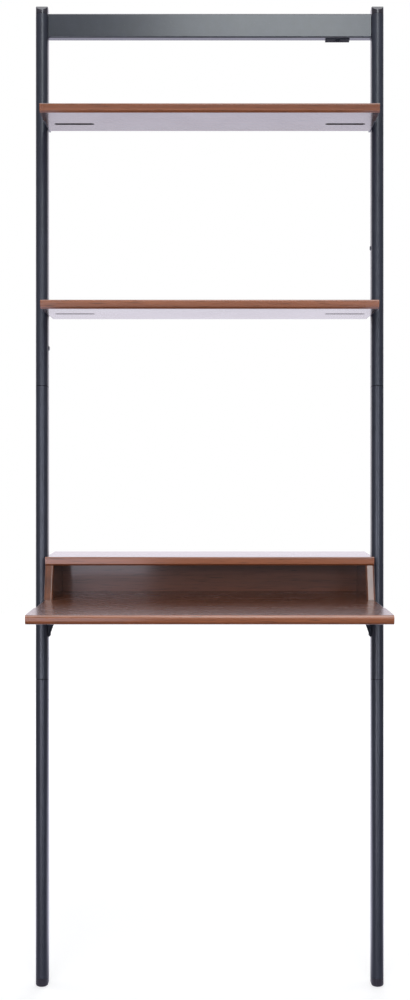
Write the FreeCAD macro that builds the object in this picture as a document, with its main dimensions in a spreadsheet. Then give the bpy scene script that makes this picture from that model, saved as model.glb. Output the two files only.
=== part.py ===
import FreeCAD, Part
import math
import os
import Sketcher
from FreeCAD import Vector
from types import SimpleNamespace

# Ladder desk that leans on a wall: two oval-tube uprights, two shelves, a desk with a low cubby
# and a top rail.
# Frame: X to the right, Y towards the wall, Z up, origin under the middle of the desk on the floor.
# The uprights lean, so their pieces are laid out on the slope: distance up the slope from the floor, and
# distance back from the front face of the uprights.

SIZES = (
    # Overall
    ("lean_angle", 8.5, "uprights, from plumb, in degrees"),
    ("outer_width", 665, "over the outer faces of the uprights"),
    ("overall_depth", 550, "front edge of the desk to the wall"),
    ("wall_gap", 0, "wall to the rear of the upright tops"),
    # Uprights
    ("tube_width", 23.5, "oval tube, across"),
    ("tube_depth", 38, "oval tube, front to back"),
    ("tube_wall", 1.5, "oval tube wall"),
    ("end_chamfer", 0.6, "broken edge at the tube ends"),
    ("lower_joint_drop", 155.5, "top of the desk down to the lower tube joint"),
    ("upper_joint_drop", 147.5, "top of the lower shelf down to the upper tube joint"),
    ("upright_rise", 219.5, "top of the upper shelf to the top of the uprights"),
    ("sleeve_reach", 60, "joint sleeve, each side of its joint"),
    ("sleeve_wall", 2, "joint sleeve wall"),
    ("slip_fit", 0.2, "sleeve or plug to tube bore, each side"),
    ("grub_offset", 40, "grub screw from its joint"),
    ("grub_sink", 0.3, "grub screw below the tube's face"),
    ("grub_socket", 1.4, "grub screw socket, to a corner"),
    ("grub_socket_depth", 1.6, "grub screw socket, deep"),
    ("plug_left_rise", 75, "left hole plug above the upper joint"),
    ("plug_right_rise", 267, "right hole plug above the upper joint"),
    ("plug_radius", 3.4, "hole plug, inside its hole"),
    ("plug_length", 6, "hole plug, from the tube's face"),
    ("plug_head_radius", 5, "hole plug head, at the tube"),
    ("plug_crown_radius", 3.2, "hole plug head, at its crown"),
    ("plug_head_height", 2.2, "hole plug head"),
    # Caps
    ("cap_head", 16, "top cap above the tube"),
    ("cap_bevel_height", 9.5, "front facet of the top cap, up"),
    ("cap_bevel_run", 9, "front facet of the top cap, back"),
    ("cap_round", 1.5, "rounded top edge of the cap"),
    ("foot_head", 16, "foot cap below the tube, at its front"),
    ("foot_round", 4, "rounded lower edge of the foot"),
    ("cap_stem", 9, "top cap inside the tube"),
    ("foot_stem", 26, "foot cap inside the tube"),
    # Top rail
    ("rail_height", 46, "rail, up the slope"),
    ("rail_depth", 15, "rail, front to back"),
    ("rail_wall", 1.5, "rail wall"),
    ("rail_corner", 2.5, "rail outer corner radius"),
    ("rail_drop", 12, "top of the uprights to the rail"),
    ("rail_setback", 11.5, "front of the uprights to the rail"),
    ("rail_end_gap", 0.3, "rail end to upright"),
    ("end_plate", 6, "plate welded inside each rail end"),
    ("weld_fit", 0.1, "end plate to rail bore, each side"),
    ("rail_bolt_rise", 9, "rail's lower edge to the lower bolt"),
    ("rail_bolt_spacing", 18, "between the two bolts of a rail end"),
    ("access_hole", 5.5, "radius of the hole that a rail bolt's head passes"),
    # Wall bracket
    ("bracket_inset", 64, "right upright to the middle of the wall bracket"),
    ("bracket_width", 46, "wall bracket, across"),
    ("bracket_sheet", 2, "wall bracket sheet"),
    ("bracket_nose", 3, "rail front to the bracket's front"),
    ("bracket_back", 10, "bracket up the rear of the rail, to its step"),
    ("bracket_rise", 28, "wall leg above the step"),
    ("bracket_gap", 1.5, "wall to the bracket before its screws are tight"),
    ("wall_hole", 2.75, "radius of a wall screw hole"),
    ("wall_hole_spacing", 28, "between the wall screw holes"),
    ("wall_hole_rise", 14, "wall screw holes above the step"),
    # Boards
    ("board", 16, "board thickness"),
    ("side_gap", 0.5, "board end to upright"),
    ("board_tail", 13.1, "back of the boards behind the uprights' front, at the upper shelf"),
    ("edge_band", 4, "front edge band of shelves and cubby"),
    ("edge_round", 3.2, "rounding of that band"),
    ("upper_bay", 335, "lower shelf to the underside of the upper shelf"),
    ("upper_shelf_depth", 149, "upper shelf with its band"),
    ("lower_bay", 452, "cubby top to the underside of the lower shelf"),
    ("lower_shelf_depth", 190, "lower shelf with its band"),
    ("desk_height", 736, "top of the desk"),
    ("desk_band", 8, "front moulding of the desk"),
    ("desk_round", 6, "rounding of that moulding"),
    # Arms and the bolted board ends
    ("arm_sheet", 3, "arm thickness"),
    ("arm_height", 12, "arm, up"),
    ("arm_round", 5, "rounded nose of an arm"),
    ("arm_gap", 0.3, "arm to its rebate"),
    ("arm_weld", 34, "arm along the upright, front to back"),
    ("arm_nose", 25, "arm ahead of its front bolt"),
    ("desk_arm_reach", 215, "desk arm ahead of the uprights"),
    ("desk_bolt_gap", 30, "rear desk bolt ahead of the uprights"),
    ("slot_setback", 92, "shelf front to the nut slot"),
    ("slot_inset", 18.5, "board end to the nut slot"),
    ("slot_length", 72, "nut slot, along the board"),
    ("slot_radius", 4.5, "half the nut slot's width"),
    ("slot_depth", 13, "nut slot, up into the board"),
    ("pin_radius", 2.5, "locating pin"),
    ("pin_reach", 12, "locating pin inside the board"),
    ("pin_spacing", 25, "locating pin behind its bolt"),
    # Bolts, nuts and screws
    ("bolt_radius", 2.5, "bolt and machine screw shank"),
    ("bolt_head_radius", 4.75, "button head, at its seat"),
    ("bolt_crown_radius", 2.8, "button head, at its crown"),
    ("bolt_head_height", 2.75, "button head, up"),
    ("bolt_spare", 2, "thread past its nut or plate"),
    ("hole_play", 0.3, "bolt to a plain hole, radius"),
    ("thread_play", 0.05, "bolt to a thread, radius"),
    ("nut_height", 4, "hexagon nut"),
    ("nut_radius", 4.6, "hexagon nut, to a corner"),
    ("washer_height", 9, "half-moon washer, up"),
    ("washer_play", 0.2, "half-moon washer to its slot"),
    # Desk brackets
    ("gusset_sheet", 2.5, "desk bracket sheet"),
    ("gusset_reach", 24, "desk bracket, inward"),
    ("gusset_drop", 60, "desk bracket, down"),
    ("gusset_depth", 28, "desk bracket, front to back"),
    ("gusset_inset", 5, "front of the upright to the bracket"),
    ("gusset_bolt_first", 22, "desk underside to the upper bolt"),
    ("gusset_bolt_second", 44, "desk underside to the lower bolt"),
    ("gusset_screw_inset", 15, "upright to the wood screws"),
    ("gusset_screw_margin", 7, "bracket edge to a wood screw"),
    ("rivet_radius", 3.6, "rivet nut shank"),
    ("rivet_length", 9, "rivet nut inside the tube"),
    # Cubby on the desk
    ("cubby_height", 62, "desk to the underside of the cubby top"),
    ("cubby_top_depth", 180, "cubby top with its band"),
    ("cubby_foot_depth", 213, "cubby side on the desk, with its band"),
    ("wood_screw_radius", 2, "wood screw shank"),
    ("wood_screw_head", 4, "wood screw head radius"),
    ("wood_screw_head_height", 2.2, "wood screw head"),
    ("short_screw", 12, "bracket screw inside the desk"),
    ("long_screw", 40, "cubby screw, desk included"),
    ("screw_from_back", 25, "rear cubby screw to the back"),
    ("screw_step", 60, "rear cubby screw to the next"),
    ("back_screw_inset", 112.5, "end of the back panel to its outer screws"),
    ("dowel_radius", 4, "wooden dowel"),
    ("dowel_play", 0.1, "dowel to its hole, radius"),
    ("dowel_short", 10, "dowel in a board's face"),
    ("dowel_long", 18, "dowel in a board's edge"),
    ("dowel_from_back", 34, "rear top dowel to the back"),
    ("dowel_step", 90, "rear top dowel to the next"),
    ("back_dowel_low", 18, "desk to the lower back dowel"),
    ("back_dowel_step", 26, "lower back dowel to the next"),
)

LEFT = -1
RIGHT = 1
SIDES = (("left", LEFT), ("right", RIGHT))
MARGIN = 1e-4

doc = FreeCAD.newDocument("LadderDesk")
sheet = doc.addObject("Spreadsheet::Sheet", "Sizes")
for row, (alias, number, meaning) in enumerate(SIZES, start=1):
    sheet.set(f"A{row}", meaning)
    sheet.set(f"B{row}", str(number))
    sheet.setAlias(f"B{row}", alias)
doc.recompute()

nodes = []


class Size:
    """A size as an expression on the sheet, with the number that it has now."""

    def __init__(self, text, number):
        self.text = text
        self.number = number

    def __add__(self, other):
        other = as_size(other)
        return Size(f"({self.text} + {other.text})", self.number + other.number)

    def __sub__(self, other):
        other = as_size(other)
        return Size(f"({self.text} - {other.text})", self.number - other.number)

    def __mul__(self, other):
        other = as_size(other)
        return Size(f"({self.text} * {other.text})", self.number * other.number)

    def __truediv__(self, other):
        other = as_size(other)
        return Size(f"({self.text} / {other.text})", self.number / other.number)

    def __neg__(self):
        return Size(f"(-{self.text})", -self.number)

    __radd__ = __add__
    __rmul__ = __mul__


def as_size(value):
    """A plain number as a size."""
    return value if isinstance(value, Size) else Size(repr(value), float(value))


size = SimpleNamespace(**{alias: Size(f"Sizes.{alias}", float(sheet.get(alias))) for alias, _, _ in SIZES})
zero = as_size(0)
lean_sine = Size(f"sin({size.lean_angle.text})", math.sin(math.radians(size.lean_angle.number)))
lean_cosine = Size(f"cos({size.lean_angle.text})", math.cos(math.radians(size.lean_angle.number)))
lean_tangent = lean_sine / lean_cosine

# Places that several pieces share
wall = size.overall_depth / 2
cubby_top_height = size.desk_height + size.cubby_height + size.board
lower_shelf_height = cubby_top_height + size.lower_bay + size.board
upper_shelf_height = lower_shelf_height + size.upper_bay + size.board
lower_joint = (size.desk_height - size.lower_joint_drop) / lean_cosine
upper_joint = (lower_shelf_height - size.upper_joint_drop) / lean_cosine
upright_length = (upper_shelf_height + size.upright_rise) / lean_cosine
foot_front = wall - size.wall_gap - upright_length * lean_sine - size.tube_depth * lean_cosine
inner_face = size.outer_width / 2 - size.tube_width
tube_middle = size.outer_width / 2 - size.tube_width / 2
tube_radius = size.tube_width / 2
bore_radius = tube_radius - size.tube_wall
board_half = inner_face - size.side_gap
board_back = foot_front + (upper_shelf_height - size.board / 2) * lean_tangent + size.board_tail
rebate_half = inner_face - size.arm_sheet - size.arm_gap
slot_outer = board_half - size.slot_inset - size.slot_radius
desk_front = -wall
desk_bottom = size.desk_height - size.board
bracket_middle = inner_face - size.bracket_inset
rail_bottom = upright_length - size.rail_drop - size.rail_height
rail_middle = size.rail_setback + size.rail_depth / 2
upper_front = board_back - size.upper_shelf_depth
lower_front = board_back - size.lower_shelf_depth
bolt_hole = size.bolt_radius + size.hole_play
thread_hole = size.bolt_radius + size.thread_play


def on_slope(back, up):
    """Y and Z of a point of the uprights: back from their front face, up the slope."""
    return foot_front + up * lean_sine + back * lean_cosine, up * lean_cosine - back * lean_sine


def up_to(height):
    """Distance up the slope at which the middle line of an upright is at this height."""
    return (height + size.tube_depth / 2 * lean_sine) / lean_cosine


def upright_front(height):
    """Y of the uprights' front face at this height."""
    return foot_front + height * lean_tangent


# Building blocks

TURNS = {
    "+X": "rotation(vector(0; 1; 0); 90)",
    "-X": "rotation(vector(0; 1; 0); -90)",
    "+Z": "rotation(vector(0; 0; 1); 0)",
    "-Z": "rotation(vector(1; 0; 0); 180)",
    "slope": f"rotation(vector(1; 0; 0); -{size.lean_angle.text})",
    "down slope": f"rotation(vector(1; 0; 0); 180 - {size.lean_angle.text})",
}
OPPOSITE = {"+X": "-X", "-X": "+X", "+Z": "-Z", "-Z": "+Z", "slope": "down slope"}


def place(item, spot, turn="+Z"):
    """Bind an object's placement to a spot (x, y, z) and a named turn."""
    x, y, z = (as_size(value).text for value in spot)
    item.setExpression("Placement", f"placement(vector({x}; {y}; {z}); {TURNS[turn]})")


def bind(item, **values):
    """Bind an object's sizes."""
    for name, value in values.items():
        item.setExpression(name, as_size(value).text)


def keep(item):
    """Note an object as one of the sub-parts."""
    nodes.append(item)
    return item


def new_body(label, spot, turn="+Z"):
    body = doc.addObject("PartDesign::Body", label)
    place(body, spot, turn)
    return keep(body)


def new_sketch(body, role, offset=zero, turn="+Z"):
    """A sketch on one of the body's own planes, moved along the plane's normal and turned."""
    plane = next(item for item in body.Origin.OriginFeatures if item.Role == role)
    sketch = body.newObject("Sketcher::SketchObject", body.Name + "_sketch")
    sketch.AttachmentSupport = [(plane, "")]
    sketch.MapMode = "FlatFace"
    sketch.setExpression("AttachmentOffset", f"placement(vector(0; 0; {offset.text}); {TURNS[turn]})")
    return sketch


def pin_point(sketch, geometry, point, x, y):
    """Fix a point of the sketch at x, y."""
    for kind, value in (("DistanceX", x), ("DistanceY", y)):
        value = as_size(value)
        index = sketch.addConstraint(Sketcher.Constraint(kind, -1, 1, geometry, point, value.number))
        sketch.setExpression(f"Constraints[{index}]", value.text)


def pin_radius(sketch, geometry, radius):
    index = sketch.addConstraint(Sketcher.Constraint("Radius", geometry, radius.number))
    sketch.setExpression(f"Constraints[{index}]", radius.text)


def flat_point(x, y):
    return Vector(as_size(x).number, as_size(y).number, 0)


def outline(sketch, points):
    """A closed outline of straight lines."""
    first = sketch.GeometryCount
    count = len(points)
    for index, point in enumerate(points):
        line = Part.LineSegment(flat_point(*point), flat_point(*points[(index + 1) % count]))
        sketch.addGeometry(line, False)
    for index, point in enumerate(points):
        following = first + (index + 1) % count
        sketch.addConstraint(Sketcher.Constraint("Coincident", first + index, 2, following, 1))
        pin_point(sketch, first + index, 1, *point)


def rectangle(sketch, low, high):
    outline(sketch, (low, (high[0], low[1]), high, (low[0], high[1])))


def circle(sketch, x, y, radius):
    shape = Part.Circle(flat_point(x, y), Vector(0, 0, 1), radius.number)
    geometry = sketch.addGeometry(shape, False)
    pin_point(sketch, geometry, 3, x, y)
    pin_radius(sketch, geometry, radius)


def oval(sketch, start, end, radius, along):
    """A flat-sided oval about the line from start to end, along the sketch's x or y."""
    quarter = math.pi / 2 if along == "y" else 0
    across = Vector(radius.number, 0, 0) if along == "y" else Vector(0, -radius.number, 0)
    low, high = flat_point(*start), flat_point(*end)
    first = sketch.GeometryCount
    near = Part.Circle(low, Vector(0, 0, 1), radius.number)
    far = Part.Circle(high, Vector(0, 0, 1), radius.number)
    sketch.addGeometry(Part.ArcOfCircle(near, quarter + math.pi / 2, quarter + 1.5 * math.pi), False)
    sketch.addGeometry(Part.LineSegment(low + across, high + across), False)
    sketch.addGeometry(Part.ArcOfCircle(far, quarter - math.pi / 2, quarter + math.pi / 2), False)
    sketch.addGeometry(Part.LineSegment(high - across, low - across), False)
    for index in range(4):
        following = first + (index + 1) % 4
        sketch.addConstraint(Sketcher.Constraint("Tangent", first + index, 2, following, 1))
    sketch.addConstraint(Sketcher.Constraint("Vertical" if along == "y" else "Horizontal", first + 1))
    pin_point(sketch, first, 3, *start)
    pin_point(sketch, first + 2, 3, *end)
    pin_radius(sketch, first, radius)


def pad(body, sketch, length, backward=False, both=False):
    """Material from the sketch along its normal, against it, or half to each side."""
    feature = body.newObject("PartDesign::Pad", body.Name + "_pad")
    feature.Profile = sketch
    feature.Reversed = backward
    feature.SideType = "Symmetric" if both else "One side"
    bind(feature, Length=length)
    doc.recompute()
    return feature


def pocket(body, sketch, length, forward=False, both=False):
    """A cut from the sketch along its normal (forward), against it, or half to each side."""
    before = body.Shape.Volume
    feature = body.newObject("PartDesign::Pocket", body.Name + "_pocket")
    feature.Profile = sketch
    feature.Reversed = forward
    feature.SideType = "Symmetric" if both else "One side"
    bind(feature, Length=length)
    doc.recompute()
    if body.Shape.Volume > before - MARGIN:
        raise ValueError(f"a pocket of {body.Label} cuts nothing")
    return feature


def drill(body, role, offset, spots, radius, length, forward, turn="+Z"):
    """Round holes of one size from a plane of the body."""
    sketch = new_sketch(body, role, offset, turn)
    for x, y in spots:
        circle(sketch, x, y, radius)
    pocket(body, sketch, length, forward)


def drill_side(body, offset, spots, radius, length, side):
    """Holes along X towards that side, from this distance off the middle of the body."""
    drill(body, "YZ_Plane", offset, spots, radius, length, forward=side == RIGHT)


def dress(body, kind, chosen, **values):
    """Fillet or chamfer the edges of the body's tip that the test chooses."""
    tip = body.Tip
    names = [f"Edge{index}" for index, edge in enumerate(tip.Shape.Edges, start=1) if chosen(edge)]
    if not names:
        raise ValueError(f"no edge to dress on {body.Label}")
    feature = body.newObject(f"PartDesign::{kind}", body.Name + "_" + kind.lower())
    feature.Base = (tip, names)
    bind(feature, **values)
    doc.recompute()


def level(edge, axis, value):
    """Whether the whole edge lies at this value of x, y or z."""
    box = edge.BoundBox
    low, high = {"x": (box.XMin, box.XMax), "y": (box.YMin, box.YMax), "z": (box.ZMin, box.ZMax)}[axis]
    return abs(low - value) < MARGIN and abs(high - value) < MARGIN


def cylinder(name, radius, height, spot, turn):
    item = doc.addObject("Part::Cylinder", name)
    bind(item, Radius=radius, Height=height)
    place(item, spot, turn)
    return item


def screw(name, spot, into, shank, length, head, crown, head_height):
    """A screw seated at the spot, its shank going into the work and its head the other way."""
    body = cylinder(name + "_shank", shank, length, spot, into)
    cap = doc.addObject("Part::Cone", name + "_head")
    bind(cap, Radius1=head, Radius2=crown, Height=head_height)
    place(cap, spot, OPPOSITE[into])
    whole = doc.addObject("Part::Fuse", name)
    whole.Base = body
    whole.Tool = cap
    return whole


def bolt(name, spot, into, length):
    """A button-head bolt."""
    return screw(name, spot, into, size.bolt_radius, length, size.bolt_head_radius,
                 size.bolt_crown_radius, size.bolt_head_height)


def wood_screw(name, spot, length):
    """A pan-head wood screw driven upwards."""
    return screw(name, spot, "+Z", size.wood_screw_radius, length, size.wood_screw_head,
                 size.wood_screw_radius * 1.4, size.wood_screw_head_height)


def cut(name, base, tool):
    item = doc.addObject("Part::Cut", name)
    item.Base = base
    item.Tool = tool
    return item


def group(label, items):
    """Equal fasteners as one sub-part of separate solids."""
    item = doc.addObject("Part::Compound", label)
    item.Links = items
    return keep(item)


def into_tube(side):
    """The turn that points from the middle of the desk out to an upright."""
    return "+X" if side == RIGHT else "-X"


def to_middle(side):
    """The turn that points from an upright to the middle of the desk."""
    return OPPOSITE[into_tube(side)]


# Uprights

tube_centre_line = size.tube_depth / 2
tube_front_centre = (zero, tube_radius)
tube_rear_centre = (zero, size.tube_depth - tube_radius)
rail_bolt_rises = (rail_bottom + size.rail_bolt_rise,
                   rail_bottom + size.rail_bolt_rise + size.rail_bolt_spacing)
gusset_bolt_heights = (desk_bottom - size.gusset_bolt_first, desk_bottom - size.gusset_bolt_second)
tube_low = {"lower": size.foot_head, "middle": lower_joint, "upper": upper_joint}
tube_high = {"lower": lower_joint, "middle": upper_joint,
             "upper": upright_length - size.cap_head}
tube_grub_rises = {
    "lower": (lower_joint - size.grub_offset,),
    "middle": (lower_joint + size.grub_offset, upper_joint - size.grub_offset),
    "upper": (upper_joint + size.grub_offset,),
}
plug_rise = {LEFT: upper_joint + size.plug_left_rise, RIGHT: upper_joint + size.plug_right_rise}


def slope_body(label, side, up):
    """A body on the slope, centred on one upright, starting this far up."""
    y, z = on_slope(zero, up)
    return new_body(label, (tube_middle * side, y, z), "slope")


def upright(name, word, side):
    """One length of oval tube with its holes."""
    low = tube_low[name]
    length = tube_high[name] - low
    body = slope_body(f"upright_{name}_{word}", side, low)
    section = new_sketch(body, "XY_Plane")
    oval(section, tube_front_centre, tube_rear_centre, tube_radius, "y")
    oval(section, tube_front_centre, tube_rear_centre, bore_radius, "y")
    pad(body, section, length)

    def outer_end(edge):
        at_end = level(edge, "z", 0) or level(edge, "z", length.number)
        on_arc = isinstance(edge.Curve, Part.Circle) and abs(edge.Curve.Radius - tube_radius.number) < MARGIN
        on_flat = any(level(edge, "x", sign * tube_radius.number) for sign in (-1, 1))
        return at_end and (on_arc or on_flat)

    dress(body, "Chamfer", outer_end, Size=size.end_chamfer)
    screws = [(tube_centre_line, up - low) for up in tube_grub_rises[name]]
    drill_side(body, zero, screws, bolt_hole, size.tube_width, -side)
    if name == "middle":
        rivets = [(tube_centre_line, up_to(height) - low) for height in gusset_bolt_heights]
        drill_side(body, zero, rivets, size.rivet_radius + size.thread_play, size.tube_width, -side)
    if name == "upper":
        rail_bolts = [(rail_middle, up - low) for up in rail_bolt_rises]
        drill_side(body, zero, rail_bolts, bolt_hole, size.tube_width, -side)
        drill_side(body, zero, rail_bolts, size.access_hole, size.tube_width, side)
        spare_hole = [(tube_centre_line, plug_rise[side] - low)]
        drill_side(body, zero, spare_hole, size.plug_radius + size.thread_play, size.tube_width, -side)


def sleeve(name, joint, word, side):
    """The connector inside a tube joint."""
    body = slope_body(f"sleeve_{name}_{word}", side, joint - size.sleeve_reach)
    section = new_sketch(body, "XY_Plane")
    outer = bore_radius - size.slip_fit
    oval(section, tube_front_centre, tube_rear_centre, outer, "y")
    oval(section, tube_front_centre, tube_rear_centre, outer - size.sleeve_wall, "y")
    pad(body, section, size.sleeve_reach * 2)
    screws = [(tube_centre_line, size.sleeve_reach + size.grub_offset * sign) for sign in (-1, 1)]
    drill_side(body, zero, screws, thread_hole, size.tube_width, -side)


def top_cap(word, side):
    """Plastic end cap with a sloped facet at its front, and its plug in the tube."""
    body = slope_body(f"top_cap_{word}", side, upright_length - size.cap_head)
    head = new_sketch(body, "XY_Plane")
    oval(head, tube_front_centre, tube_rear_centre, tube_radius, "y")
    pad(body, head, size.cap_head)
    dress(body, "Fillet", lambda edge: level(edge, "z", size.cap_head.number), Radius=size.cap_round)
    facet = new_sketch(body, "YZ_Plane")
    outline(facet, ((zero, size.cap_head - size.cap_bevel_height), (size.cap_bevel_run, size.cap_head),
                    (zero, size.cap_head)))
    pocket(body, facet, size.tube_width * 2, both=True)
    plug = new_sketch(body, "XY_Plane")
    oval(plug, tube_front_centre, tube_rear_centre, bore_radius - size.slip_fit, "y")
    pad(body, plug, size.cap_stem, backward=True)


def foot_cap(word, side):
    """Plastic foot, cut level with the floor, and its plug in the tube."""
    body = slope_body(f"foot_cap_{word}", side, zero)
    head = new_sketch(body, "XY_Plane")
    oval(head, tube_front_centre, tube_rear_centre, tube_radius, "y")
    pad(body, head, size.foot_head)
    floor = new_sketch(body, "YZ_Plane")
    outline(floor, ((zero, zero), (size.tube_depth, zero), (size.tube_depth, size.tube_depth * lean_tangent)))
    pocket(body, floor, size.tube_width * 2, both=True)

    def on_floor(edge):
        slope = lean_tangent.number
        return all(abs(point.z - point.y * slope) < MARGIN for point in edge.discretize(5))

    dress(body, "Fillet", on_floor, Radius=size.foot_round)
    plug = new_sketch(body, "XY_Plane", size.foot_head)
    oval(plug, tube_front_centre, tube_rear_centre, bore_radius - size.slip_fit, "y")
    pad(body, plug, size.foot_stem)


def sleeve_screws():
    """Grub screws through the tubes into the sleeves, sunk below the tubes' inner faces."""
    length = size.tube_wall + size.slip_fit + size.sleeve_wall + size.bolt_spare - size.grub_sink
    screws = []
    for word, side in SIDES:
        for joint in (lower_joint, upper_joint):
            for sign in (-1, 1):
                y, z = on_slope(tube_centre_line, joint + size.grub_offset * sign)
                spot = ((inner_face + size.grub_sink) * side, y, z)
                count = len(screws)
                shank = cylinder(f"grub_{count}", size.bolt_radius, length, spot, into_tube(side))
                socket = doc.addObject("Part::Prism", f"grub_socket_{count}")
                socket.Polygon = 6
                bind(socket, Circumradius=size.grub_socket, Height=size.grub_socket_depth)
                place(socket, spot, into_tube(side))
                screws.append(cut(f"grub_screw_{count}", shank, socket))
    group("sleeve_screws", screws)


def hole_plugs():
    """Plugs with low heads in a spare hole of each upper tube."""
    plugs = []
    for word, side in SIDES:
        y, z = on_slope(tube_centre_line, plug_rise[side])
        plugs.append(screw(f"hole_plug_{word}", (inner_face * side, y, z), into_tube(side), size.plug_radius,
                           size.plug_length, size.plug_head_radius, size.plug_crown_radius,
                           size.plug_head_height))
    group("hole_plugs", plugs)


# Top rail and wall bracket

rail_half = inner_face - size.rail_end_gap


def top_rail():
    """Rectangular steel tube between the upright tops."""
    y, z = on_slope(size.rail_setback, rail_bottom)
    body = new_body("top_rail", (zero, y, z), "slope")
    section = new_sketch(body, "YZ_Plane")
    rectangle(section, (zero, zero), (size.rail_depth, size.rail_height))
    rectangle(section, (size.rail_wall, size.rail_wall),
              (size.rail_depth - size.rail_wall, size.rail_height - size.rail_wall))
    pad(body, section, rail_half * 2, both=True)

    def outer_corner(edge):
        across = any(level(edge, "y", value) for value in (0, size.rail_depth.number))
        upright_way = any(level(edge, "z", value) for value in (0, size.rail_height.number))
        return across and upright_way

    dress(body, "Fillet", outer_corner, Radius=size.rail_corner)
    drill(body, "XY_Plane", zero, [(bracket_middle, size.rail_depth / 2)], thread_hole,
          size.rail_height / 2, forward=True)


def rail_end_plate(word, side):
    """Threaded plate inside a rail end."""
    y, z = on_slope(size.rail_setback, rail_bottom)
    body = new_body(f"rail_end_plate_{word}", (zero, y, z), "slope")
    face = new_sketch(body, "YZ_Plane", rail_half * side)
    margin = size.rail_wall + size.weld_fit
    rectangle(face, (margin, margin), (size.rail_depth - margin, size.rail_height - margin))
    pad(body, face, size.end_plate, backward=side == RIGHT)
    spots = [(size.rail_depth / 2, up - rail_bottom) for up in rail_bolt_rises]
    drill_side(body, rail_half * side, spots, thread_hole, size.end_plate, -side)


def rail_bolts():
    """Bolts from inside the uprights into the rail's end plates."""
    length = size.tube_wall + size.rail_end_gap + size.end_plate + size.bolt_spare
    bolts = []
    for word, side in SIDES:
        for up in rail_bolt_rises:
            y, z = on_slope(rail_middle, up)
            spot = ((inner_face + size.tube_wall) * side, y, z)
            bolts.append(bolt(f"rail_bolt_{len(bolts)}", spot, to_middle(side), length))
    group("rail_bolts", bolts)


def wall_bracket():
    """Steel strip bent under the rail, up its rear, back in a step and up the wall, with two screw holes.

    It hides behind the rail, and it is a little short of the wall, so that the uprights bear on it first.
    """
    body = new_body("wall_bracket", (bracket_middle, zero, zero))
    sheet_thickness = size.bracket_sheet
    nose = size.rail_setback + size.bracket_nose
    rail_back = size.rail_setback + size.rail_depth
    leg_rear = wall - size.bracket_gap
    leg_front = leg_rear - sheet_thickness
    step_front, step_bottom = on_slope(rail_back + sheet_thickness, rail_bottom + size.bracket_back)
    step_top = step_bottom + sheet_thickness
    leg_top = step_top + size.bracket_rise
    profile = new_sketch(body, "YZ_Plane")
    outline(profile, (
        on_slope(nose, rail_bottom),
        on_slope(nose, rail_bottom - sheet_thickness),
        on_slope(rail_back + sheet_thickness, rail_bottom - sheet_thickness),
        (step_front, step_bottom),
        (leg_rear, step_bottom),
        (leg_rear, leg_top),
        (leg_front, leg_top),
        (leg_front, step_top),
        on_slope(rail_back, (step_top + rail_back * lean_sine) / lean_cosine),
        on_slope(rail_back, rail_bottom),
    ))
    pad(body, profile, size.bracket_width, both=True)
    holes = [(size.wall_hole_spacing / 2 * sign, step_top + size.wall_hole_rise) for sign in (-1, 1)]
    drill(body, "XZ_Plane", -leg_rear, holes, size.wall_hole, sheet_thickness * 2, forward=True)
    y, z = on_slope(rail_middle, rail_bottom - sheet_thickness)
    low = new_sketch(body, "XY_Plane", z + y * lean_tangent, "slope")
    circle(low, zero, y / lean_cosine, bolt_hole)
    pocket(body, low, sheet_thickness * 4, both=True)


def wall_bracket_screw():
    y, z = on_slope(rail_middle, rail_bottom - size.bracket_sheet)
    length = size.bracket_sheet + size.rail_wall + size.bolt_spare
    group("wall_bracket_screw", [bolt("bracket_screw_0", (bracket_middle, y, z), "slope", length)])


# Boards on their arms

class HungBoard:
    """A board that hangs on a pair of arms: its edges, and the lines on which bolts and pins go in."""

    def __init__(self, name, front, band, rounding, top, arm_front, bolt_lines, pin_lines):
        self.name = name
        self.front = front
        self.band = band
        self.rounding = rounding
        self.top = top
        self.arm_front = arm_front
        self.bolt_lines = bolt_lines
        self.pin_lines = pin_lines
        self.middle = top - size.board / 2


def hung_shelf(name, front, top):
    line = front + size.slot_setback
    return HungBoard(name, front, size.edge_band, size.edge_round, top, line - size.arm_nose, (line,),
                     (line + size.pin_spacing,))


upper_shelf = hung_shelf("upper_shelf", upper_front, upper_shelf_height)
lower_shelf = hung_shelf("lower_shelf", lower_front, lower_shelf_height)
desk_upright_front = upright_front(size.desk_height - size.board / 2)
desk_arm_front = desk_upright_front - size.desk_arm_reach
desk_front_bolt = desk_arm_front + size.arm_nose
desk = HungBoard("desk_top", desk_front, size.desk_band, size.desk_round, size.desk_height, desk_arm_front,
                 (desk_front_bolt, desk_upright_front - size.desk_bolt_gap),
                 (desk_front_bolt + size.pin_spacing,))
HUNG_BOARDS = (upper_shelf, lower_shelf, desk)

cubby_screw_lines = (board_back - size.screw_from_back,
                     board_back - size.screw_from_back - size.screw_step)
cubby_screw_side = board_half - size.board / 2
back_panel_middle = board_back - size.board / 2
back_screw_side = board_half - size.board - size.back_screw_inset
gusset_front = upright_front(desk_bottom - size.gusset_drop / 2) + size.gusset_inset
gusset_screw_lines = (gusset_front + size.gusset_screw_margin + size.gusset_sheet,
                      gusset_front + size.gusset_depth - size.gusset_screw_margin)
gusset_screw_side = inner_face - size.gusset_screw_inset


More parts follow.
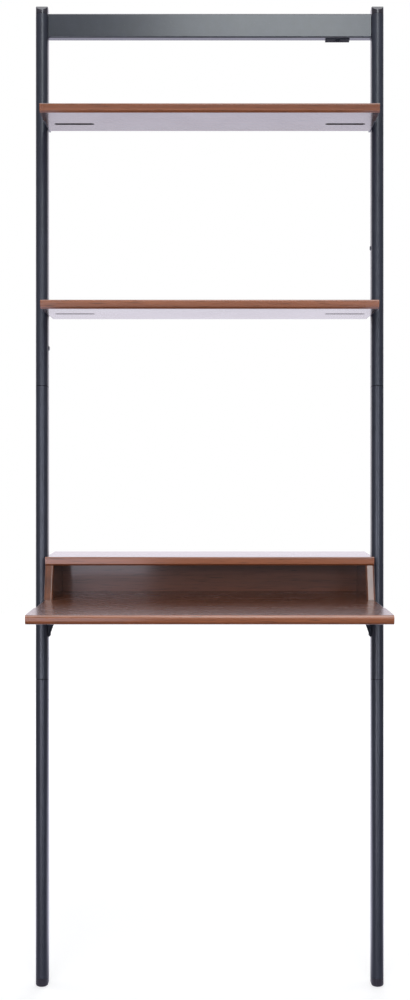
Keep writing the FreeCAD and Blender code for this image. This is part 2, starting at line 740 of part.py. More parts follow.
def hung_board(item):
    """Board with rebated ends, nut slots in its underside, and bores for the bolts and pins."""
    core_front = item.front + item.band
    depth = board_back - core_front
    body = new_body(item.name, (zero, core_front, item.top - size.board))
    rebate = item.arm_front - size.arm_gap - core_front
    plan = new_sketch(body, "XY_Plane")
    outline(plan, (
        (-board_half, zero), (board_half, zero), (board_half, rebate), (rebate_half, rebate),
        (rebate_half, depth), (-rebate_half, depth), (-rebate_half, rebate), (-board_half, rebate),
    ))
    pad(body, plan, size.board)
    slots = new_sketch(body, "XY_Plane")
    slot_inner = slot_outer - size.slot_length + size.slot_radius * 2
    for line in item.bolt_lines:
        oval(slots, (-slot_outer, line - core_front), (-slot_inner, line - core_front), size.slot_radius, "x")
        oval(slots, (slot_inner, line - core_front), (slot_outer, line - core_front), size.slot_radius, "x")
    pocket(body, slots, size.slot_depth, forward=True)
    bolts = [(line - core_front, size.board / 2) for line in item.bolt_lines]
    pins = [(line - core_front, size.board / 2) for line in item.pin_lines]
    for word, side in SIDES:
        drill_side(body, slot_outer * side, bolts, bolt_hole, board_half - slot_outer, side)
        pin_end = rebate_half - size.pin_reach - size.hole_play
        drill_side(body, pin_end * side, pins, size.pin_radius + size.hole_play, board_half - pin_end, side)
    return body


def desk_drillings(body):
    """Holes in the desk for the cubby screws and the bracket screws."""
    core_front = desk.front + desk.band
    through = [(cubby_screw_side * side, line - core_front)
               for side in (LEFT, RIGHT) for line in cubby_screw_lines]
    through += [(back_screw_side * step, back_panel_middle - core_front) for step in (-1, 0, 1)]
    screw_hole = size.wood_screw_radius + size.thread_play
    drill(body, "XY_Plane", zero, through, screw_hole, size.board, forward=True)
    pilots = [(gusset_screw_side * side, line - core_front)
              for side in (LEFT, RIGHT) for line in gusset_screw_lines]
    drill(body, "XY_Plane", zero, pilots, screw_hole, size.short_screw + size.hole_play, forward=True)


def front_band(label, front, band, rounding, top):
    """Straight edge band across a board's front, rounded above and below."""
    body = new_body(label, (zero, front, top - size.board))
    section = new_sketch(body, "YZ_Plane")
    rectangle(section, (zero, zero), (band, size.board))
    pad(body, section, board_half * 2, both=True)

    def front_corner(edge):
        return level(edge, "y", 0) and any(level(edge, "z", value) for value in (0, size.board.number))

    dress(body, "Fillet", front_corner, Radius=rounding)


def arm(item, word, side):
    """Flat steel arm welded to the inner face of an upright, let into the board's end."""
    rear = upright_front(item.middle) + size.arm_weld
    body = new_body(f"{item.name}_arm_{word}", (inner_face * side, item.arm_front, item.middle))
    face = new_sketch(body, "YZ_Plane")
    half = size.arm_height / 2
    rectangle(face, (zero, -half), (rear - item.arm_front, half))
    pad(body, face, size.arm_sheet, backward=side == RIGHT)

    def nose(edge):
        return level(edge, "y", 0) and any(level(edge, "z", sign * half.number) for sign in (-1, 1))

    dress(body, "Fillet", nose, Radius=size.arm_round)
    bolts = [(line - item.arm_front, zero) for line in item.bolt_lines]
    pins = [(line - item.arm_front, zero) for line in item.pin_lines]
    drill_side(body, zero, bolts, bolt_hole, size.arm_sheet, -side)
    drill_side(body, zero, pins, size.pin_radius + size.thread_play, size.arm_sheet, -side)


def board_end_fasteners():
    """Bolts through the arms, with a half-moon washer and a nut in each slot, and the locating pins."""
    bolts, washers, nuts, pins = [], [], [], []
    nut_inner = slot_outer - size.nut_height
    bolt_length = inner_face - nut_inner + size.bolt_spare
    pin_length = size.arm_sheet + size.arm_gap + size.pin_reach
    washer_radius = size.slot_radius - size.washer_play
    for item in HUNG_BOARDS:
        for word, side in SIDES:
            for line in item.bolt_lines:
                count = len(bolts)
                arm_spot = (inner_face * side, line, item.middle)
                nut_spot = (slot_outer * side, line, item.middle)
                bolts.append(bolt(f"board_bolt_{count}", arm_spot, to_middle(side), bolt_length))
                moon = doc.addObject("Part::Cylinder", f"moon_{count}")
                moon.Angle = 180
                bind(moon, Radius=washer_radius, Height=size.washer_height)
                x, y, z = (slot_outer * side).text, line.text, (item.middle - size.washer_height / 2).text
                turn = f"rotation(vector(0; 0; 1); {-90 * side})"
                moon.setExpression("Placement", f"placement(vector({x}; {y}; {z}); {turn})")
                bore = cylinder(f"moon_bore_{count}", bolt_hole, washer_radius, nut_spot, into_tube(side))
                washers.append(cut(f"moon_washer_{count}", moon, bore))
                hexagon = doc.addObject("Part::Prism", f"hexagon_{count}")
                hexagon.Polygon = 6
                bind(hexagon, Circumradius=size.nut_radius, Height=size.nut_height)
                place(hexagon, nut_spot, to_middle(side))
                thread = cylinder(f"thread_{count}", thread_hole, size.nut_height, nut_spot, to_middle(side))
                nuts.append(cut(f"board_nut_{count}", hexagon, thread))
            for line in item.pin_lines:
                spot = (inner_face * side, line, item.middle)
                pins.append(cylinder(f"arm_pin_{len(pins)}", size.pin_radius, pin_length, spot,
                                     to_middle(side)))
    group("board_bolts", bolts)
    group("moon_washers", washers)
    group("board_nuts", nuts)
    group("arm_pins", pins)


# Brackets under the desk

def desk_bracket(word, side):
    """Steel corner bracket with a triangular web at its front."""
    body = new_body(f"desk_bracket_{word}", (inner_face * side, gusset_front, desk_bottom))
    reach = size.gusset_reach * -side
    sheet = size.gusset_sheet
    angle = new_sketch(body, "XZ_Plane")
    outline(angle, ((zero, zero), (reach, zero), (reach, -sheet), (sheet * -side, -sheet),
                    (sheet * -side, -size.gusset_drop), (zero, -size.gusset_drop)))
    pad(body, angle, size.gusset_depth, backward=True)
    web = new_sketch(body, "XZ_Plane")
    outline(web, ((zero, zero), (reach, zero), (reach, -sheet), (sheet * -side, -size.gusset_drop),
                  (zero, -size.gusset_drop)))
    pad(body, web, sheet, backward=True)
    bolts = []
    for height in gusset_bolt_heights:
        y, z = on_slope(tube_centre_line, up_to(height))
        bolts.append((y - gusset_front, z - desk_bottom))
    drill_side(body, zero, bolts, bolt_hole, sheet, -side)
    screws = [(size.gusset_screw_inset * -side, line - gusset_front) for line in gusset_screw_lines]
    drill(body, "XY_Plane", zero, screws, size.wood_screw_radius + size.hole_play, sheet, forward=False)


def bracket_fasteners():
    """Bolts and rivet nuts into the uprights, wood screws up into the desk."""
    bolts, rivets, screws = [], [], []
    bolt_length = size.gusset_sheet + size.rivet_length + size.bolt_spare
    for word, side in SIDES:
        for height in gusset_bolt_heights:
            y, z = on_slope(tube_centre_line, up_to(height))
            count = len(bolts)
            head_spot = ((inner_face - size.gusset_sheet) * side, y, z)
            tube_spot = (inner_face * side, y, z)
            bolts.append(bolt(f"bracket_bolt_{count}", head_spot, into_tube(side), bolt_length))
            shank = cylinder(f"rivet_{count}", size.rivet_radius, size.rivet_length, tube_spot,
                             into_tube(side))
            thread = cylinder(f"rivet_bore_{count}", thread_hole, size.rivet_length, tube_spot,
                              into_tube(side))
            rivets.append(cut(f"rivet_nut_{count}", shank, thread))
        for line in gusset_screw_lines:
            spot = (gusset_screw_side * side, line, desk_bottom - size.gusset_sheet)
            screws.append(wood_screw(f"desk_screw_{len(screws)}", spot, size.gusset_sheet + size.short_screw))
    group("desk_bracket_bolts", bolts)
    group("rivet_nuts", rivets)
    group("desk_bracket_screws", screws)


# Cubby on the desk

cubby_top_front = board_back - size.cubby_top_depth
cubby_foot_front = board_back - size.cubby_foot_depth
cubby_inner = board_half - size.board
top_dowel_lines = (board_back - size.dowel_from_back, board_back - size.dowel_from_back - size.dowel_step)
back_dowel_rises = (size.back_dowel_low, size.back_dowel_low + size.back_dowel_step)
dowel_hole = size.dowel_radius + size.dowel_play
pilot_hole = size.wood_screw_radius + size.thread_play
pilot_depth = size.long_screw - size.board + size.hole_play


def cubby_side(word, side):
    """Side panel whose front edge slopes back as it rises."""
    body = new_body(f"hutch_side_{word}", (cubby_inner * side, zero, size.desk_height))
    face = new_sketch(body, "YZ_Plane")
    outline(face, ((cubby_foot_front + size.edge_band, zero), (board_back, zero),
                   (board_back, size.cubby_height), (cubby_top_front + size.edge_band, size.cubby_height)))
    pad(body, face, size.board, backward=side == LEFT)
    middle = size.board / 2 * side
    top_dowels = [(middle, line) for line in top_dowel_lines]
    drill(body, "XY_Plane", size.cubby_height, top_dowels, dowel_hole, size.dowel_long, forward=False)
    screws = [(middle, line) for line in cubby_screw_lines]
    drill(body, "XY_Plane", zero, screws, pilot_hole, pilot_depth, forward=True)
    back_dowels = [(back_panel_middle, rise) for rise in back_dowel_rises]
    drill_side(body, zero, back_dowels, dowel_hole, size.dowel_short, side)


def cubby_side_band(word, side):
    """Edge band on the sloping front of a side panel."""
    body = new_body(f"hutch_side_edge_{word}", (cubby_inner * side, zero, size.desk_height))
    face = new_sketch(body, "YZ_Plane")
    outline(face, ((cubby_foot_front, zero), (cubby_foot_front + size.edge_band, zero),
                   (cubby_top_front + size.edge_band, size.cubby_height),
                   (cubby_top_front, size.cubby_height)))
    pad(body, face, size.board, backward=side == LEFT)
    run = (cubby_top_front - cubby_foot_front).number / size.cubby_height.number

    def front_corner(edge):
        points = edge.discretize(3)
        on_front = all(abs(p.y - cubby_foot_front.number - p.z * run) < MARGIN for p in points)
        return on_front and edge.BoundBox.ZLength > size.cubby_height.number / 2

    dress(body, "Fillet", front_corner, Radius=size.edge_round)


def cubby_top():
    body = new_body("hutch_top", (zero, cubby_top_front + size.edge_band, cubby_top_height - size.board))
    core_front = cubby_top_front + size.edge_band
    plan = new_sketch(body, "XY_Plane")
    rectangle(plan, (-board_half, zero), (board_half, board_back - core_front))
    pad(body, plan, size.board)
    dowels = [(cubby_screw_side * side, line - core_front)
              for side in (LEFT, RIGHT) for line in top_dowel_lines]
    drill(body, "XY_Plane", zero, dowels, dowel_hole, size.dowel_short, forward=True)


def cubby_back():
    """Back panel between the sides."""
    body = new_body("hutch_back", (zero, board_back - size.board, size.desk_height))
    plan = new_sketch(body, "XY_Plane")
    rectangle(plan, (-cubby_inner, zero), (cubby_inner, size.board))
    pad(body, plan, size.cubby_height)
    screws = [(back_screw_side * step, size.board / 2) for step in (-1, 0, 1)]
    drill(body, "XY_Plane", zero, screws, pilot_hole, pilot_depth, forward=True)
    dowels = [(size.board / 2, rise) for rise in back_dowel_rises]
    for word, side in SIDES:
        drill_side(body, (cubby_inner - size.dowel_long) * side, dowels, dowel_hole, size.dowel_long, side)


def cubby_fasteners():
    """Dowels of the cubby's corners, and the screws that come up through the desk."""
    dowels, screws = [], []
    length = size.dowel_short + size.dowel_long - size.dowel_play * 2
    for word, side in SIDES:
        for line in top_dowel_lines:
            foot = size.desk_height + size.cubby_height - size.dowel_long + size.dowel_play
            spot = (cubby_screw_side * side, line, foot)
            dowels.append(cylinder(f"dowel_{len(dowels)}", size.dowel_radius, length, spot, "+Z"))
        for rise in back_dowel_rises:
            inner_end = cubby_inner - size.dowel_long + size.dowel_play
            spot = (inner_end * side, back_panel_middle, size.desk_height + rise)
            dowels.append(cylinder(f"dowel_{len(dowels)}", size.dowel_radius, length, spot, into_tube(side)))
        for line in cubby_screw_lines:
            spot = (cubby_screw_side * side, line, desk_bottom)
            screws.append(wood_screw(f"cubby_screw_{len(screws)}", spot, size.long_screw))
    for step in (-1, 0, 1):
        spot = (back_screw_side * step, back_panel_middle, desk_bottom)
        screws.append(wood_screw(f"cubby_screw_{len(screws)}", spot, size.long_screw))
    group("hutch_dowels", dowels)
    group("hutch_screws", screws)


# The desk, piece by piece

for word, side in SIDES:
    for name in ("lower", "middle", "upper"):
        upright(name, word, side)
    sleeve("lower", lower_joint, word, side)
    sleeve("upper", upper_joint, word, side)
    top_cap(word, side)
    foot_cap(word, side)
    rail_end_plate(word, side)
    desk_bracket(word, side)
    cubby_side(word, side)
    cubby_side_band(word, side)
sleeve_screws()
hole_plugs()
top_rail()
rail_bolts()
wall_bracket()
wall_bracket_screw()
for item in HUNG_BOARDS:
    blank = hung_board(item)
    if item is desk:
        desk_drillings(blank)
    front_band(f"{item.name}_edge", item.front, item.band, item.rounding, item.top)
    for word, side in SIDES:
        arm(item, word, side)
board_end_fasteners()
bracket_fasteners()
cubby_top()
front_band("hutch_top_edge", cubby_top_front, size.edge_band, size.edge_round, cubby_top_height)
cubby_back()
cubby_fasteners()
doc.recompute()

# Checks, then one file for each sub-part

for item in doc.Objects:
    if "Invalid" in item.State or "Error" in item.State:
        raise ValueError(f"{item.Label} failed: {item.State}")
for item in nodes:
    if item.Shape.isNull() or not item.Shape.isValid() or not item.Shape.Solids:
        raise ValueError(f"{item.Label} has no valid solid")
os.makedirs("parts", exist_ok=True)
for item in nodes:
    item.Shape.exportStep(f"parts/{item.Label}.step")
print(len(nodes), "sub-parts,", sum(len(item.Shape.Solids) for item in nodes), "solids")
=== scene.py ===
import math

import bmesh
import bpy
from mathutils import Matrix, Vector


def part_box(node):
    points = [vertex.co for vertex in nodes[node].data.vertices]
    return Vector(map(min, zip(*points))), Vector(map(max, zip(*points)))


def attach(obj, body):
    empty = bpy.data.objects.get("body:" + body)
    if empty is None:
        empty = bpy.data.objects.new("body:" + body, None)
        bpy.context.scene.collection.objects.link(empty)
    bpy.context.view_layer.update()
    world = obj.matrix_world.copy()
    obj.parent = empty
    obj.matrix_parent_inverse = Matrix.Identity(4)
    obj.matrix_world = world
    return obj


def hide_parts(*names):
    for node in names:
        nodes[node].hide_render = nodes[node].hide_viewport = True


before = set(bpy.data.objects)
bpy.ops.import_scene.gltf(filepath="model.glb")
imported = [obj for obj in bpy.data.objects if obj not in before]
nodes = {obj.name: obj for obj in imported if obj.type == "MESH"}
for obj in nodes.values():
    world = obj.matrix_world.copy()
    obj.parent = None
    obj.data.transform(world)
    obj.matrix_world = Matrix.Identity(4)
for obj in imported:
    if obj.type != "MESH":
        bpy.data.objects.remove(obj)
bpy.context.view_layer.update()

# The photograph's frame, in pixels
IMAGE_WIDTH = 410
IMAGE_HEIGHT = 1000

# The uprights lean back by this angle, and this direction runs up along them
LEAN = math.radians(8.5)
UPWARD = (0.0, math.sin(LEAN), math.cos(LEAN))

# Routed slots, in metres: their roofs are less than this below a board's top, two slots are further
# apart than this, each has a rim of painted shade of this width, and the box of a slot is grown by this
# margin
ROOF_DEPTH = 0.0033
SLOT_REACH = 0.09
SLOT_SHADE_RIM = 0.0015
SLOT_MARGIN = 0.0004

# Painted shade on the line where two lengths of tube meet is dark up to the first distance, and gone at the
# second
JOINT_SHADE_WIDTH = (0.0004, 0.0009)

# A face is on the end of a board where the sideways part of its normal is over the first, and faces
# down where the upward part is under the second
END_FACING = 0.7
DOWN_FACING = -0.9

# Edge bands, in metres: the rounding above, and the depth and height of the slope below
BAND_ROUND = 0.0028
BAND_SLOPE = (0.0038, 0.003)
BAND_STEPS = 10
SHARP_ANGLE = math.radians(35.0)

# Screws: the sides and rings of a head, the sides of a shank, and a hexagon's corner radius and the
# width of a cross's arm as shares of the recess's width
HEAD_SIDES = 40
HEAD_RINGS = 9
SHANK_SIDES = 24
HEXAGON_CORNER = 0.577
CROSS_ARM = 0.26

# How wide a domed head is at shares of its height: at its two ends, and between them
CROWN_ENDS = ((0.0, 0.97), (1.0, 0.42))
CROWN_BETWEEN = ((0.12, 1.0), (0.45, 0.94), (0.75, 0.78), (0.92, 0.58))

# The floor, in metres: half its width, and how far it lies below the soles
FLOOR_HALF = 7.0
FLOOR_DROP = 0.0004

# What the world gives: light on dull surfaces, and the brightness of the paper that mirrors show
ROOM_LIGHT = 0.38
PAPER_LIGHT = 1.1

WHITE = (1.0, 1.0, 1.0, 1.0)


# Colours and small helpers

def seen(red, green, blue):
    """A colour as it is seen, 0 to 255, as the linear numbers that a shader takes."""
    def linear(value):
        share = value / 255
        if share <= 0.04045:
            return share / 12.92
        return ((share + 0.055) / 1.055) ** 2.4
    return (linear(red), linear(green), linear(blue), 1.0)


def put(name, data):
    """A new object with this data, in the scene."""
    item = bpy.data.objects.new(name, data)
    bpy.context.scene.collection.objects.link(item)
    return item


def set_input(tree, socket, value):
    """Joins a node's output to an input, or sets the input to a plain value."""
    if isinstance(value, bpy.types.NodeSocket):
        tree.links.new(value, socket)
    else:
        socket.default_value = value


def add(tree, kind, inputs=None, **settings):
    """A node with its settings, and with its inputs set or joined by name or number."""
    made = tree.nodes.new(kind)
    for name, value in settings.items():
        setattr(made, name, value)
    for key, value in (inputs or {}).items():
        set_input(tree, made.inputs[key], value)
    return made


def maths(tree, operation, *values):
    return add(tree, "ShaderNodeMath", dict(enumerate(values)), operation=operation).outputs[0]


def blend(tree, share, first, second):
    """Two colours mixed by a share."""
    return add(tree, "ShaderNodeMix", {0: share, 6: first, 7: second}, data_type="RGBA").outputs[2]


def tint(tree, base, colour, mask, amount):
    """A colour with another laid over it where a mask shows, by this amount at most."""
    return blend(tree, maths(tree, "MULTIPLY", mask, amount), base, colour)


def raised(tree, start, mask, amount):
    """A number that grows by an amount where a mask shows."""
    return maths(tree, "MULTIPLY_ADD", mask, amount, start)


def either(tree, masks):
    """The greatest of several masks, or None where there is no mask."""
    greatest = None
    for mask in masks:
        greatest = mask if greatest is None else maths(tree, "MAXIMUM", greatest, mask)
    return greatest


def spread(tree, value, low, high, to_low=0.0, to_high=1.0):
    """A value's range stretched over another range, and held inside it."""
    return add(tree, "ShaderNodeMapRange",
               {0: value, 1: low, 2: high, 3: to_low, 4: to_high}).outputs[0]


def combined(tree, *values):
    """A vector made of up to three numbers."""
    return add(tree, "ShaderNodeCombineXYZ", dict(enumerate(values))).outputs[0]


def separated(tree, vector):
    return add(tree, "ShaderNodeSeparateXYZ", {0: vector}).outputs


def stretched(tree, vector, scale):
    return add(tree, "ShaderNodeVectorMath", {0: vector, 1: scale}, operation="MULTIPLY").outputs[0]


def turned_round(tree, vector, angles):
    return add(tree, "ShaderNodeMapping", {"Vector": vector, "Rotation": angles}).outputs[0]


def noise(tree, vector, scale=1.0, detail=2.0, roughness=0.5, distortion=0.0):
    return add(tree, "ShaderNodeTexNoise", {
        "Vector": vector, "Scale": scale, "Detail": detail,
        "Roughness": roughness, "Distortion": distortion,
    }).outputs[0]


def ramp(tree, value, stops):
    made = add(tree, "ShaderNodeValToRGB", {0: value})
    band = made.color_ramp
    while len(band.elements) < len(stops):
        band.elements.new(0.5)
    for element, (place, colour) in zip(band.elements, stops):
        element.position = place
        element.color = colour
    return made.outputs[0]


def new_group(name, takes, gives):
    """An empty shader group with named inputs and outputs."""
    group = bpy.data.node_groups.new(name, "ShaderNodeTree")
    for label, kind, value in takes:
        socket = group.interface.new_socket(name=label, in_out="INPUT", socket_type=kind)
        if value is not None:
            socket.default_value = value
    for label, kind in gives:
        group.interface.new_socket(name=label, in_out="OUTPUT", socket_type=kind)
    start = group.nodes.new("NodeGroupInput")
    end = group.nodes.new("NodeGroupOutput")
    return group, start.outputs, end.inputs


def use(tree, group, **inputs):
    """A group placed in a material with its own values."""
    made = tree.nodes.new("ShaderNodeGroup")
    made.node_tree = group
    for label, value in inputs.items():
        set_input(tree, made.inputs[label.replace("_", " ")], value)
    return made.outputs


# Effects that several finishes share

VECTOR = "NodeSocketVector"
FLOAT = "NodeSocketFloat"


def make_wood_grain():
    """Long streaks, fine fibres and short pores that run along the first axis."""
    group, takes, gives = new_group(
        "wood_grain",
        [("Vector", VECTOR, None), ("Streaks", FLOAT, 24.0), ("Fibres", FLOAT, 380.0)],
        [("Tone", FLOAT), ("Fibre", FLOAT), ("Pores", FLOAT), ("Height", FLOAT)])
    place = takes["Vector"]
    sway = noise(group, stretched(group, place, (2.2, 9.0, 9.0)))
    sway_step = maths(group, "MULTIPLY_ADD", sway, 0.012, -0.006)
    bend = combined(group, 0.0, sway_step, sway_step)
    swayed = add(group, "ShaderNodeVectorMath", {0: place, 1: bend}, operation="ADD").outputs[0]

    def drawn_out(along, across):
        return stretched(group, swayed, combined(group, along, across, across))

    broad = noise(group, drawn_out(0.75, takes["Streaks"]), detail=5.0, roughness=0.62, distortion=0.4)
    fine = noise(group, drawn_out(3.0, takes["Fibres"]), detail=3.0, roughness=0.6)
    dashes = noise(group, drawn_out(26.0, 760.0), detail=1.0)
    pores = spread(group, dashes, 0.6, 0.72)
    group.links.new(spread(group, broad, 0.28, 0.72), gives["Tone"])
    group.links.new(spread(group, fine, 0.3, 0.7), gives["Fibre"])
    group.links.new(pores, gives["Pores"])
    group.links.new(maths(group, "SUBTRACT", raised(group, 0.6, fine, 0.4), pores), gives["Height"])
    return group


def make_edge_wear():
    """Where a surface turns over an edge, broken up, and the normal with that edge eased."""
    group, takes, gives = new_group(
        "edge_wear",
        [("Vector", VECTOR, None), ("Radius", FLOAT, 0.0008), ("Breaks", FLOAT, 90.0)],
        [("Wear", FLOAT), ("Normal", VECTOR)])
    eased = add(group, "ShaderNodeBevel", {"Radius": takes["Radius"]}, samples=6).outputs[0]
    plain = add(group, "ShaderNodeNewGeometry").outputs["Normal"]
    likeness = add(group, "ShaderNodeVectorMath", {0: eased, 1: plain},
                   operation="DOT_PRODUCT").outputs["Value"]
    turn = spread(group, likeness, 0.995, 0.86)
    breaks = noise(group, takes["Vector"], takes["Breaks"], 3.0, 0.6)
    group.links.new(maths(group, "MULTIPLY", turn, spread(group, breaks, 0.42, 0.66)), gives["Wear"])
    group.links.new(eased, gives["Normal"])
    return group


def make_handling():
    """Cloudy patches where a surface was wiped and handled, and thin scattered dust."""
    group, takes, gives = new_group(
        "handling",
        [("Vector", VECTOR, None), ("Patches", FLOAT, 7.0), ("Specks", FLOAT, 420.0)],
        [("Cloud", FLOAT), ("Dust", FLOAT)])
    cloud = noise(group, takes["Vector"], takes["Patches"], 4.0, 0.6, 0.5)
    specks = noise(group, takes["Vector"], takes["Specks"])
    group.links.new(spread(group, cloud, 0.3, 0.7), gives["Cloud"])
    group.links.new(spread(group, specks, 0.64, 0.78), gives["Dust"])
    return group


def make_orange_peel():
    """The shallow ripple of baked paint, with finer grit on it."""
    group, takes, gives = new_group(
        "orange_peel",
        [("Vector", VECTOR, None), ("Ripple", FLOAT, 420.0), ("Grit", FLOAT, 2400.0)],
        [("Height", FLOAT), ("Mottle", FLOAT)])
    ripple = noise(group, takes["Vector"], takes["Ripple"])
    grit = noise(group, takes["Vector"], takes["Grit"], 1.0)
    mottle = noise(group, takes["Vector"], 60.0, 3.0, 0.6)
    group.links.new(raised(group, ripple, grit, 0.25), gives["Height"])
    group.links.new(spread(group, mottle, 0.3, 0.7), gives["Mottle"])
    return group


wood_grain = make_wood_grain()
edge_wear = make_edge_wear()
handling = make_handling()
orange_peel = make_orange_peel()


# Finishes

def new_finish(name, **plain):
    """A material, its tree, its shader and the object's own coordinates."""
    material = bpy.data.materials.new(name)
    material.use_nodes = True
    tree = material.node_tree
    shader = tree.nodes["Principled BSDF"]
    for label, value in plain.items():
        shader.inputs[label.replace("_", " ")].default_value = value
    coordinates = add(tree, "ShaderNodeTexCoord").outputs["Object"]
    return material, tree, shader, coordinates


def feed(tree, shader, **links):
    for label, socket in links.items():
        tree.links.new(socket, shader.inputs[label.replace("_", " ")])


def bump(tree, height, strength, distance, normal=None):
    inputs = {"Height": height, "Strength": strength, "Distance": distance}
    if normal is not None:
        inputs["Normal"] = normal
    return add(tree, "ShaderNodeBump", inputs).outputs[0]


def slot_shade_mask(tree, place, low, high):
    """One inside a round-ended slot that runs along the first axis, and on a rim of painted shade around it,
    else nought.
    """
    parts = separated(tree, place)
    radius = (high[1] - low[1]) / 2
    nearest = maths(tree, "MINIMUM", maths(tree, "MAXIMUM", parts[0], low[0] + radius), high[0] - radius)
    aside = maths(tree, "SUBTRACT", parts[0], nearest)
    across = maths(tree, "SUBTRACT", parts[1], (low[1] + high[1]) / 2)
    squares = maths(tree, "MULTIPLY_ADD", aside, aside, maths(tree, "MULTIPLY", across, across))
    near = maths(tree, "LESS_THAN", maths(tree, "SQRT", squares), radius + SLOT_SHADE_RIM)
    below = maths(tree, "LESS_THAN", parts[2], high[2])
    return maths(tree, "MULTIPLY", near, below)


def along_ends(tree, place):
    """The place, with its first two axes changed over on a board's ends, so that grain runs along them."""
    facing = add(tree, "ShaderNodeNewGeometry").outputs["True Normal"]
    sideways = maths(tree, "ABSOLUTE", separated(tree, facing)[0])
    on_end = maths(tree, "GREATER_THAN", sideways, END_FACING)
    parts = separated(tree, place)
    changed = combined(tree, parts[1], parts[0], parts[2])
    return add(tree, "ShaderNodeMix", {0: on_end, 4: place, 5: changed}, data_type="VECTOR").outputs[1]


def walnut_finish(name, tones, turn=0.0, streaks=24.0, slots=(), gloss=0.13):
    """Walnut laminate under a clear satin lacquer, with painted shade in its unlacquered routed slots and
    round them.
    """
    material, tree, shader, place = new_finish(
        name, IOR=1.5, Coat_Weight=1.0, Coat_IOR=1.9, Coat_Roughness=gloss)
    slot_shade = either(tree, [slot_shade_mask(tree, place, low, high) for low, high in slots])
    if turn:
        place = turned_round(tree, place, (0.0, 0.0, turn))
    else:
        place = along_ends(tree, place)
    grain = use(tree, wood_grain, Vector=place, Streaks=streaks)
    wear = use(tree, edge_wear, Vector=place, Radius=0.0007)
    touch = use(tree, handling, Vector=place)
    dark, middle, light = tones
    wood = ramp(tree, grain["Tone"], [(0.0, dark), (0.5, middle), (1.0, light)])
    wood = tint(tree, wood, dark, grain["Fibre"], 0.28)
    wood = tint(tree, wood, seen(50, 28, 18), grain["Pores"], 0.55)
    wood = tint(tree, wood, light, wear["Wear"], 0.3)
    roughness = raised(tree, 0.38, touch["Cloud"], 0.1)
    roughness = raised(tree, roughness, grain["Pores"], 0.2)
    # The slots lose their lacquer, and their near-black colour and the rim round them are painted shade
    if slot_shade is not None:
        slot_shade_mottle = noise(tree, place, 900.0, 3.0, 0.7)
        slot_shade_colour = blend(tree, slot_shade_mottle, seen(30, 23, 21), seen(52, 40, 35))
        wood = blend(tree, slot_shade, wood, slot_shade_colour)
        roughness = maths(tree, "MAXIMUM", roughness, slot_shade)
        feed(tree, shader, Coat_Weight=maths(tree, "SUBTRACT", 1.0, slot_shade))
    feed(tree, shader, Base_Color=wood, Roughness=roughness,
         Normal=bump(tree, grain["Height"], 0.04, 0.0002, wear["Normal"]))
    return material


def routed_slots(node):
    """The boxes of the slots in a board's underside, found from their roofs."""
    mesh = nodes[node].data
    top = max(vertex.co.z for vertex in mesh.vertices)
    slots = []
    for face in mesh.polygons:
        if face.normal.z > DOWN_FACING or face.center.z < top - ROOF_DEPTH:
            continue
        corners = [mesh.vertices[index].co for index in face.vertices]
        for middle, found in slots:
            if (middle - face.center).length < SLOT_REACH:
                found.extend(corners)
                break
        else:
            slots.append((face.center.copy(), corners))
    boxes = []
    for _, corners in slots:
        low = [min(corner[axis] for corner in corners) for axis in range(3)]
        high = [max(corner[axis] for corner in corners) + SLOT_MARGIN for axis in range(3)]
        boxes.append((low, high))
    return boxes


def tube_joints():
    """How far along the lean the lengths of an upright meet."""
    return [max(spot.co.y * UPWARD[1] + spot.co.z * UPWARD[2] for spot in nodes[name].data.vertices)
            for name in ("upright_lower_left", "upright_middle_left")]


def joint_shade_lines(tree, place, joints):
    """One on the thin line of painted shade where two lengths of tube meet."""
    along = add(tree, "ShaderNodeVectorMath", {0: place, 1: UPWARD},
                operation="DOT_PRODUCT").outputs["Value"]
    lines = []
    for joint in joints:
        apart = maths(tree, "ABSOLUTE", maths(tree, "SUBTRACT", along, joint))
        lines.append(spread(tree, apart, *JOINT_SHADE_WIDTH, 1.0, 0.0))
    return either(tree, lines)


def steel_finish(name, dark, light, rough, joints=(), **plain):
    """Graphite powder coat with a shallow ripple, rubbed a little at its edges, with painted shade in any
    tube seams given.
    """
    material, tree, shader, place = new_finish(name, **plain)
    peel = use(tree, orange_peel, Vector=place)
    wear = use(tree, edge_wear, Vector=place, Radius=0.0006, Breaks=160.0)
    touch = use(tree, handling, Vector=place, Patches=11.0)
    paint = blend(tree, peel["Mottle"], dark, light)
    paint = tint(tree, paint, seen(52, 57, 73), touch["Cloud"], 0.3)
    paint = tint(tree, paint, seen(120, 122, 128), wear["Wear"], 0.3)
    paint = tint(tree, paint, seen(112, 111, 112), touch["Dust"], 0.2)
    roughness = raised(tree, rough, touch["Cloud"], 0.08)
    roughness = raised(tree, roughness, touch["Dust"], 0.2)
    if joints:
        # Painted shade: the seams where lengths of tube meet are darkened near black and lose their coat
        line = joint_shade_lines(tree, place, joints)
        paint = tint(tree, paint, seen(14, 14, 18), line, 0.9)
        feed(tree, shader, Coat_Weight=maths(tree, "SUBTRACT", 1.0, line))
    feed(tree, shader, Base_Color=paint, Roughness=roughness,
         Normal=bump(tree, peel["Height"], 0.1, 0.0003, wear["Normal"]))
    return material


def plastic_finish(name, dark, light):
    """Moulded plastic with a fine spark-eroded grain."""
    material, tree, shader, place = new_finish(
        name, IOR=1.5, Coat_Weight=1.0, Coat_IOR=1.8, Coat_Roughness=0.18)
    peel = use(tree, orange_peel, Vector=place, Ripple=1500.0, Grit=5200.0)
    wear = use(tree, edge_wear, Vector=place, Radius=0.0007, Breaks=220.0)
    touch = use(tree, handling, Vector=place, Patches=30.0)
    tone = blend(tree, peel["Mottle"], dark, light)
    tone = tint(tree, tone, seen(96, 93, 103), wear["Wear"], 0.4)
    tone = tint(tree, tone, seen(104, 101, 106), touch["Dust"], 0.25)
    feed(tree, shader, Base_Color=tone, Roughness=raised(tree, 0.34, touch["Cloud"], 0.12),
         Normal=bump(tree, peel["Height"], 0.15, 0.0001, wear["Normal"]))
    return material


